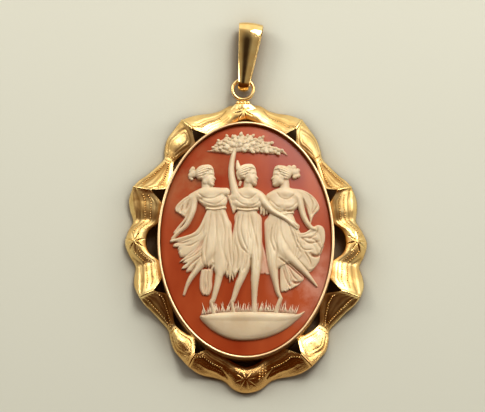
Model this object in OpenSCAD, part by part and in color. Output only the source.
// Oval shell cameo pendant in a waved gold ribbon frame, with a folded bail on a ring.
// It lies on its back: +Z points out of the carving, +Y points to the bail.
// The origin is on the table, below the middle of the whole pendant.

/* [Cameo] */
// Width of the carved shell oval
cameo_w = 29; // [25:0.5:34]
// Height of the carved shell oval
cameo_h = 40; // [35:0.5:46]
// Thickness of the shell
shell_t = 2.2; // [1.8:0.1:2.8]
// Rise of the domed ground above the edge of the shell
dome_rise = 1.6; // [1:0.1:2.4]
// Height of the fullest carved forms above the ground
relief_h = 1.4; // [1:0.1:1.8]

/* [Bezel] */
// Wall thickness of the bezel
bezel_t = 0.5; // [0.4:0.05:0.8]
// Height of the bezel's rim above the table
bezel_h = 5.2; // [4.8:0.1:6]
// Height of the ledge that the shell sits on
seat_z = 2.2; // [1.6:0.1:2.4]
// Width of the ledge
ledge_w = 0.8; // [0.5:0.1:1.4]
// Thickness of the ledge
ledge_t = 0.5; // [0.4:0.05:0.8]
// Gap between the shell and its setting
fit_gap = 0.05; // [0.03:0.01:0.1]

/* [Ribbon frame] */
// How far the side stars reach out from the bezel
ribbon_reach = 5.7; // [4.6:0.1:7]
// How far the top star reaches out from the bezel
top_reach = 3.9; // [3.4:0.1:5]
// Height that the ribbon's waves are drawn to
ribbon_h = 3.4; // [2.8:0.1:4]
// Thickness of the ribbon sheet
sheet_t = 0.5; // [0.4:0.05:0.7]
// How far the upper lobes are pushed to the left and the lower ones to the right
ribbon_skew = 1; // [0:0.1:1.4]

/* [Engraved stars] */
// Number of rays
star_rays = 8; // [6:1:10]
// Length of a ray
ray_l = 1.35; // [0.9:0.05:1.5]
// Width of a ray
ray_w = 0.36; // [0.25:0.01:0.45]
// Depth of a ray
ray_cut = 0.22; // [0.1:0.01:0.3]

/* [Ring] */
// Outside diameter of the ring
ring_od = 4.3; // [4:0.1:5]
// Diameter of the ring's wire
ring_wire = 0.56; // [0.45:0.01:0.62]
// Shift of the ring from the centre line
ring_shift = -0.5; // [-1:0.1:1]
// Length of the collar between the ribbon and the ring
collar_l = 0.7; // [0.5:0.1:1.4]
// Diameter of the two beads at the collar
bead_d = 0.95; // [0.7:0.05:1.2]

/* [Bail] */
// Length of the bail
bail_l = 12.5; // [10:0.5:14]
// Width of the bail at its top
bail_w = 4.4; // [3.4:0.1:5]
// Width of the bail at its lower bend
bail_low_w = 1.8; // [1.4:0.1:2]
// Depth of the bail at its top
bail_depth = 3.9; // [3.7:0.1:4.6]
// Thickness of the bail's sheet
bail_t = 0.35; // [0.25:0.05:0.4]
// How far the bail's face bows out along the middle
bail_bow = 0.25; // [0.1:0.05:0.4]
// Inside radius of the lower bend
bend_r = 0.8; // [0.7:0.05:0.9]
// Distance from the ring's wire to the lower bend's centre
bail_slack = 0.8; // [0.6:0.1:1.2]
// Angle that the bail leans to the right
bail_lean = 7; // [0:1:12]

/* [Hidden] */

gold = "goldenrod";

// Half sizes of the bezel's outside
bez_x = cameo_w / 2 + fit_gap + bezel_t;
bez_y = cameo_h / 2 + fit_gap + bezel_t;
shell_x = cameo_w / 2;
shell_y = cameo_h / 2;
edge_z = seat_z + fit_gap + shell_t;
root = bezel_t * 0.4; // how deep the ribbon is soldered into the wall

ring_r = (ring_od - ring_wire) / 2;
ring_z = bail_depth / 2;
ring_y = bez_y + top_reach + collar_l + ring_r;
lean_dir = [sin(bail_lean), cos(bail_lean)];
hinge = [ring_shift + ring_r * lean_dir[0], ring_y + ring_r * lean_dir[1], ring_z];

// The lower bend's outside lies below the hinge, the top bend's outside above it
bail_low = bail_slack + bend_r + bail_t + bail_bow;
bail_up = bail_l - bail_low;
top_r = bail_depth / 2 - bail_t - bail_bow;

// The middle of the whole pendant along Y is put at the origin
low_y = -(bez_y + 0.92 * ribbon_reach);
high_y = hinge[1] + (bail_up - bail_bow) * lean_dir[1] + bail_w / 2 * lean_dir[0];
mid_y = (low_y + high_y) / 2;

// Ribbon stations of one quarter, from the side star at 0 degrees to the end star at 90.
// Columns: oval angle, inner gap and outer reach as shares of ribbon_reach,
// inner height, outer height and crown as shares of ribbon_h.
// The three lists meet at the two creases, where the sheet is pinched to a sharp lip.
STAR_TO_CREASE = [
    [0, 0.34, 1.00, 0.76, 0.30, 0.38],
    [5, 0.26, 0.90, 0.78, 0.24, 0.34],
    [9.6, -0.02, 0.77, 0.80, 0.20, 0.26],
    [14, -0.04, 0.88, 0.88, 0.26, 0.32],
    [18, -0.03, 0.95, 0.94, 0.36, 0.30],
    [23.2, 0.37, 0.91, 1.15, 0.70, 0.09]];
CREASE_TO_CREASE = [
    [23.2, 0.37, 0.91, 1.15, 0.70, 0.09],
    [26.8, -0.03, 0.82, 0.94, 0.56, 0.18],
    [30, -0.04, 0.70, 0.76, 0.38, 0.22],
    [35, 0.02, 0.58, 0.62, 0.26, 0.18],
    [41, 0.17, 0.50, 0.47, 0.17, 0.12],
    [45, 0.14, 0.62, 0.56, 0.20, 0.15],
    [50, 0.05, 0.75, 0.74, 0.27, 0.24],
    [54.5, -0.03, 0.78, 0.91, 0.47, 0.20],
    [60, 0.39, 0.83, 1.12, 0.74, 0.09]];
CREASE_TO_END = [
    [60, 0.39, 0.83, 1.12, 0.74, 0.09],
    [65, -0.03, 0.80, 0.94, 0.41, 0.24],
    [69, -0.04, 0.74, 0.85, 0.27, 0.27],
    [73.5, -0.04, 0.66, 0.79, 0.19, 0.26],
    [78.5, 0.00, 0.66, 0.76, 0.19, 0.26],
    [84, 0.10, 0.84, 0.76, 0.24, 0.32],
    [90, 0.17, 0.92, 0.76, 0.27, 0.35]];

// The carving is drawn on squared paper that the oval fills: 171 squares wide, 228 high.
// Each stroke is a list of round forms: across, up, radius and lift, in squares.
LEFT_DANCER = [
    [[-46, 65, 8, 0], [-42, 61, 8, 1]], [[-49, 66, 6, 0], [-46, 68, 6, 0]], [[-54, 62, 3.5, 0], [-52, 60, 3, 0]],
    [[-42, 53, 4, 0], [-40, 45, 5, 0]],
    [[-52, 40, 4.5, 0], [-38, 41, 6, 1], [-24, 41, 4.5, 0], [-12, 42, 4, 0]],
    [[-38, 37, 9, 1], [-31, 29, 8, 0]],
    [[-53, 40, 4, 1], [-59, 22, 3.2, 1], [-67, 7, 2.6, 0]],
    [[-70, 28, 3, 0], [-67, 34, 4, 0], [-56, 38, 4.5, 0]], [[-66, 24, 2.5, 0], [-60, 33, 4, 0]],
    [[-38, 20, 7, 0], [-54, 6, 6, 0], [-71, -2, 3.6, 0]],
    [[-37, 14, 8, 1], [-50, -4, 8, 0], [-64, -12, 4, 0]],
    [[-36, 8, 8, 1], [-47, -13, 7, 1], [-59, -25, 4, 0]],
    [[-34, 16, 8, 1], [-42, -19, 7, 1], [-53, -35, 4, 0]],
    [[-32, 20, 8, 1], [-34, -10, 8, 2], [-34, -32, 6, 0]],
    [[-28, 20, 7, 1], [-24, -12, 7, 1], [-19, -33, 4, 0]],
    [[-31, -13, 6, 2], [-41, -25, 5, 2], [-54, -39, 3.4, 1], [-62, -54, 2, 0]],
    [[-38, -34, 5, 0], [-43, -50, 3.5, 0], [-40, -56, 2.2, 0]],
    [[-26, -28, 6, 1], [-29, -43, 4.2, 1], [-32, -58, 3.4, 1], [-32, -74, 2.6, 0]],
    [[-32, -60, 2.6, 0], [-37, -63, 1.6, 0]]];
MIDDLE_DANCER = [
    [[0, 65, 8, 0], [4, 62, 8, 1]], [[-3, 68, 6, 0], [0, 69, 6, 0]], [[-8, 73, 3.4, 0], [-6, 72, 3, 0]],
    [[2, 54, 4, 0], [2, 46, 5, 0]],
    [[-13, 89, 2.4, 1], [-15, 67, 3, 2], [-9, 43, 4.6, 1]],
    [[-14, 39, 5, 0], [1, 40, 6, 1], [16, 39, 5, 0]],
    [[-1, 35, 9, 1], [1, 28, 8.5, 0]], [[8, 35, 8, 1], [3, 28, 8, 0]],
    [[16, 40, 4.6, 2], [24, 27, 3.8, 3], [39, 19, 3.2, 4], [52, 10, 2.8, 4]],
    [[-3, 22, 8, 1], [-8, 0, 8, 1], [-19, -36, 4.4, 0]],
    [[-2, 14, 9, 1], [-9, -18, 7, 1], [-11, -40, 4.4, 0]],
    [[2, 22, 9, 1], [2, -4, 9, 2], [0, -30, 6, 1]],
    [[5, 22, 8, 1], [8, -4, 8, 1], [8, -28, 6, 1]],
    [[1, -31, 5, 0], [-5, -43, 4, 0], [-11, -56, 3.2, 0], [-13, -63, 2.4, 0], [-12, -74, 2.4, 0]],
    [[9, -28, 5.5, 1], [9, -52, 4, 1], [8, -74, 2.8, 0]]];
RIGHT_DANCER = [
    [[38, 65, 8, 0], [34, 62, 8, 1]], [[41, 67, 6, 0], [38, 68, 6, 0]], [[46, 68, 4, 0], [51, 67, 3.4, 0]],
    [[40, 54, 4, 0], [42, 46, 5, 0]],
    [[27, 40, 4.5, 0], [40, 41, 6, 1], [53, 41, 4.5, 0]],
    [[38, 36, 10, 1], [36, 26, 9, 0]],
    [[54, 41, 4, 1], [58, 26, 3.2, 1], [66, 9, 2.8, 1]],
    [[48, 46, 3, 0], [60, 44, 3.2, 0], [68, 38, 4, 0], [72, 30, 2.6, 0], [66, 21, 2.4, 0]],
    [[56, 42, 3, 0], [64, 36, 4, 0], [66, 28, 3, 0]],
    [[32, 20, 8, 1], [27, 0, 7, 1], [25, -20, 5, 0]],
    [[38, 18, 9, 1], [38, 0, 10, 2], [38, -14, 8, 1]],
    [[44, 16, 7, 0], [60, 9, 6, 1], [73, 9, 4.4, 0]],
    [[46, 8, 8, 0], [60, -2, 8, 1], [74, -5, 4, 0]],
    [[46, 0, 8, 0], [59, -12, 7, 1], [70, -19, 3.6, 0]],
    [[48, -8, 7, 0], [57, -22, 5, 0], [62, -33, 3, 0]],
    [[37, -13, 7, 2], [54, -26, 4.6, 2], [67, -38, 2.8, 1], [71, -45, 1.5, 0]],
    [[24, -13, 6, 1], [29, -31, 4.8, 1], [31, -48, 4, 1], [34, -61, 3, 1], [31, -73, 2.6, 0]],
    [[36, -22, 6, 0], [46, -34, 5, 0], [54, -40, 2.8, 0]],
    [[36, -26, 6, 0], [42, -42, 5, 0], [44, -50, 3, 0]],
    [[14, -20, 3, 0], [20, -28, 2.6, 0], [18, -36, 2, 0]]];
CANOPY = [
    [[-38, 88, 1.6, 0], [-22, 92, 4, 0], [0, 94, 6, 0], [18, 93, 6, 0], [30, 89, 3.6, 0],
        [42, 84, 1.5, 0]],
    [[-28, 95, 4, 1], [-20, 97, 4.6, 1]], [[-14, 100, 4.4, 1], [-9, 97, 5, 2]],
    [[-5, 103, 4.6, 1], [0, 100, 5, 2]], [[6, 103, 5, 1], [11, 99, 5, 2]],
    [[17, 100, 4.6, 1], [21, 96, 4.6, 2]], [[27, 94, 4, 1], [32, 91, 3.4, 1]]];
// Outline of the ground that the dancers stand on: its top edge, then the bowl below
MOUND = [[-47, -75], [-20, -73], [8, -72], [34, -71], [58, -71], [49, -82], [39, -91], [29, -97],
    [16, -102], [-1, -103], [-16, -100], [-31, -93], [-40, -86]];
MOUND_LIFT = 4.6;

sq_x = cameo_w / 171;
sq_y = cameo_h / 228;
sq = (sq_x + sq_y) / 2;
full_form = 9; // radius, in squares, of a form that stands relief_h high
flat = relief_h / (full_form * sq);
side_steps = 7;
mid_steps = 16;
end_steps = 13;
TOP_U = [for (i = [8:-1:0]) i / 8];
UNDER_U = [0, 0.35, 0.7, 1];

// Slope of a column at a station; flat at a star, free at a crease
function slope(T, i, c) =
    i == 0 ? (T[0][0] == 0 ? 0 : (T[1][c] - T[0][c]) / (T[1][0] - T[0][0]))
    : i == len(T) - 1 ? (T[i][0] == 90 ? 0 : (T[i][c] - T[i - 1][c]) / (T[i][0] - T[i - 1][0]))
    : (T[i + 1][c] - T[i - 1][c]) / (T[i + 1][0] - T[i - 1][0]);
// A smooth curve through one column of a table
function along(T, a, c, i = 0) =
    a > T[i + 1][0] && i < len(T) - 2 ? along(T, a, c, i + 1)
    : let (h = T[i + 1][0] - T[i][0], s = (a - T[i][0]) / h)
        (2 * s ^ 3 - 3 * s ^ 2 + 1) * T[i][c] + (3 * s ^ 2 - 2 * s ^ 3) * T[i + 1][c]
        + h * ((s ^ 3 - 2 * s ^ 2 + s) * slope(T, i, c) + (s ^ 3 - s ^ 2) * slope(T, i + 1, c));
function quarter_table(q) =
    q < STAR_TO_CREASE[5][0] ? STAR_TO_CREASE : q < CREASE_TO_END[0][0] ? CREASE_TO_CREASE : CREASE_TO_END;
// Angle within the quarter, the same on all four sides
function fold(a) = let (h = (a % 180 + 180) % 180) h > 90 ? 180 - h : h;

function oval(a, x, y) = [x * cos(a), y * sin(a)];
function oval_out(a, x, y) = let (v = [y * cos(a), x * sin(a)]) v / norm(v);

function gap_at(a) = max(-root, along(quarter_table(fold(a)), fold(a), 1) * ribbon_reach);
// The top star is shorter than the others, which leaves room for the ring
function reach_at(a) = let (q = fold(a), r = along(quarter_table(q), q, 2) * ribbon_reach,
        top = sin(a) > 0 ? max(0, (q - 78.5) / 11.5) : 0)
    r + (top_reach - 0.92 * ribbon_reach) * (3 * top ^ 2 - 2 * top ^ 3);
function height_at(a, u) = let (T = quarter_table(fold(a)), q = fold(a),
        zi = along(T, q, 3), zo = along(T, q, 4), zc = along(T, q, 5))
    ribbon_h * (zi + (zo - zi) * u + zc * 4 * u * (1 - u));
function ribbon_point(a, u, drop = 0) =
    let (g = gap_at(a), w = g + (reach_at(a) - g) * u,
        p = oval(a, bez_x, bez_y) + w * oval_out(a, bez_x, bez_y))
    [p[0] - ribbon_skew * abs(sin(2 * a)) * sign(sin(a)) * w / ribbon_reach, p[1],
        max(drop > 0 ? 0 : sheet_t, height_at(a, u)) - min(drop, max(0, height_at(a, u)))];

function spread(from, to, n) = [for (i = [0:n - 1]) from + (to - from) * i / n];
quarter = concat(spread(0, 9.6, 4), spread(9.6, 23.2, side_steps), spread(23.2, 60, mid_steps),
    spread(60, 90, end_steps));
half_turn = concat(quarter, [90], [for (i = [len(quarter) - 1:-1:1]) 180 - quarter[i]]);
around = concat(half_turn, [for (a = half_turn) a + 180]);

// Closed skin over rings of points; the last ring joins the first
module skin(rings) {
    n = len(rings);
    m = len(rings[0]);
    polyhedron(
        points = [for (r = rings, p = r) p],
        faces = [for (i = [0:n - 1], j = [0:m - 1], half = [0, 1])
            let (a = i * m + j, b = i * m + (j + 1) % m,
                c = ((i + 1) % n) * m + (j + 1) % m, d = ((i + 1) % n) * m + j)
            half == 0 ? [a, b, c] : [a, c, d]],
        convexity = 10);
}

module ribbon() {
    skin([for (a = around) concat(
        [for (u = TOP_U) ribbon_point(a, u)],
        [for (u = UNDER_U) ribbon_point(a, u, sheet_t)])]);
}

// Wall with a rounded rim and an inner ledge
module bezel() {
    ow = ledge_w + bezel_t;
    skin([for (a = [0:5:355])
        let (p = oval(a, bez_x, bez_y), n = oval_out(a, bez_x, bez_y))
        [for (q = [[0, 0], [0, bezel_h - bezel_t / 3], [-bezel_t / 3, bezel_h],
                [-bezel_t * 0.7, bezel_h], [-bezel_t, bezel_h - bezel_t / 3],
                [-bezel_t, seat_z], [-ow, seat_z], [-ow, seat_z - ledge_t],
                [-bezel_t, seat_z - ledge_t], [-bezel_t, 0]])
            [p[0] + q[0] * n[0], p[1] + q[0] * n[1], q[1]]]]);
}

module ring() {
    translate([ring_shift, ring_y, ring_z])
        rotate_extrude($fn = 28) translate([ring_r, 0]) circle(d = ring_wire, $fn = 12);
}

// Two beads at the foot of the ring, and a tongue that runs into the top star
module collar() {
    foot_y = ring_y - ring_r;
    for (side = [-1, 1]) translate([ring_shift + side * bead_d * 0.55, foot_y - bead_d * 0.35, ring_z])
        sphere(d = bead_d, $fn = 14);
    hull() {
        translate([ring_shift, foot_y - ring_wire * 0.4, ring_z]) sphere(d = bead_d * 0.8, $fn = 8);
        for (side = [-1, 1]) translate([side * bead_d * 0.95, foot_y - collar_l - bead_d * 0.95,
                ring_z * 0.86])
            sphere(d = sheet_t * 1.6, $fn = 8);
    }
}

// Bright-cut star: pointed cuts, widest and deepest near the middle
module star_cut(a) {
    w = (gap_at(a) + reach_at(a)) / 2;
    p = oval(a, bez_x, bez_y) + w * oval_out(a, bez_x, bez_y);
    wide = ray_l * 0.36;
    points = concat([[wide, 0, -ray_cut], [wide * 0.3, 0, 0], [ray_l, 0, -ray_cut * 1.5]],
        [for (z = [ray_cut * 0.27, ray_l], q = [[wide, ray_w / 2], [wide, -ray_w / 2], [ray_l, 0], [wide * 0.3, 0]])
            [q[0], q[1], z]]);
    for (k = [0:star_rays - 1]) translate([p[0], p[1], ribbon_point(a, 0.5)[2]])
        rotate((k + 0.3) * 360 / star_rays)
            hull() polyhedron(points, [[0, 1, 2], [3, 4, 5], [6, 7, 8], [8, 9, 10]]);
}

module gold_frame() {
    color(gold) translate([0, -mid_y, 0]) difference() {
        union() {
            ribbon();
            bezel();
            collar();
            ring();
        }
        for (a = [0, 90, 180, 270]) star_cut(a);
    }
}

function dome(x, y) = edge_z + dome_rise * max(0, 1 - (x / shell_x) ^ 2 - (y / shell_y) ^ 2);

// Domed shell, hollowed at the back
module shell() {
    function profile(n) = concat(
        [for (i = [0:n]) [i / n, 1 - (i / n) ^ 2, 1]],
        [for (i = [0:n - 1]) let (r = 0.93 * (1 - i / n)) [r, 1 - (r / 0.93) ^ 2, 0]]);
    ring_pts = profile(6);
    scale([shell_x, shell_y, 1]) rotate_extrude($fn = 60)
        polygon(concat([for (q = ring_pts) [q[0], q[2] == 1 ? edge_z + dome_rise * q[1]
            : edge_z - shell_t + dome_rise * 0.8 * q[1]]],
            [[0, edge_z - shell_t + dome_rise * 0.8]]));
}

// One rounded form of the carving, on the dome or lifted above it
module form(f, lift) {
    x = f[0] * sq_x;
    y = f[1] * sq_y;
    translate([x, y, dome(x, y) + lift * sq]) scale([f[2] * sq, f[2] * sq, f[2] * sq * flat])
        sphere(r = 1, $fn = 8);
}

// A form that is lifted clear of the dome also gets a foot on it
module strokes(list) {
    for (s = list, i = [0:len(s) - 2]) hull() for (f = [s[i], s[i + 1]]) {
        form(f, f[3]);
        if (f[3] > f[2] * 0.8) form(f, 0);
    }
}

// Ground under the dancers' feet: a bowl shape with a slope all round
module mound() {
    function place(k, up) = [for (p = MOUND) [p[0] * k * sq_x, (p[1] * k - 86 * (1 - k)) * sq_y, up]];
    low = dome(0, -100 * sq_y);
    foot = 2.3 * sq;
    edge = 0.3 * sq;
    hull() {
        for (p = place(1, low - foot)) translate(p) cylinder(d = edge, h = foot, $fn = 4);
        for (p = place(0.86, low)) translate(p)
            cylinder(d = edge, h = dome(p[0], p[1]) - low + MOUND_LIFT * sq, $fn = 4);
    }
}

module cameo() {
    translate([0, -mid_y, 0]) {
        color("firebrick") shell();
        color("antiquewhite") {
            for (list = [LEFT_DANCER, MIDDLE_DANCER, RIGHT_DANCER, CANOPY]) strokes(list);
            mound();
        }
    }
}

// The bail's side view is a belt around two bends, wider at the top
module bail_body() {
    far = bail_l - 2 * bail_t - 2 * bail_bow - bend_r - top_r;
    open = asin((top_r - bend_r) / far);
    low_arc = [for (i = [0:8]) let (a = 90 + open + (180 - 2 * open) * i / 8) [0, bend_r, a]];
    high_arc = [for (i = [0:10]) let (a = -90 - open + (180 + 2 * open) * i / 10) [far, top_r, a]];
    function mixed(p, q, n) = [for (i = [1:n - 1])
        [p[0] + (q[0] - p[0]) * i / n, p[1] + (q[1] - p[1]) * i / n, p[2]]];
    belt = concat(low_arc, mixed(low_arc[8], high_arc[0], 5), high_arc,
        mixed(high_arc[10], low_arc[0], 5));
    function at(b, v, lift) =
        let (bow = bail_bow * (1 - v ^ 2), r = b[1] + bow + lift,
            up = b[0] + r * cos(b[2]) - bail_slack,
            w = bail_low_w + (bail_w - bail_low_w) * max(0, min(1, (up + bail_low) / bail_l)))
        [v * w / 2, up, r * sin(b[2])];
    skin([for (b = belt) concat(
        [for (v = [-1, -0.6, 0, 0.6, 1]) at(b, v, bail_t)],
        [for (v = [1, 0.6, 0, -0.6, -1]) at(b, v, 0)])]);
}

module bail() {
    color(gold) translate([hinge[0], hinge[1] - mid_y, hinge[2]]) rotate(-bail_lean) bail_body();
}

gold_frame();
cameo();
bail();
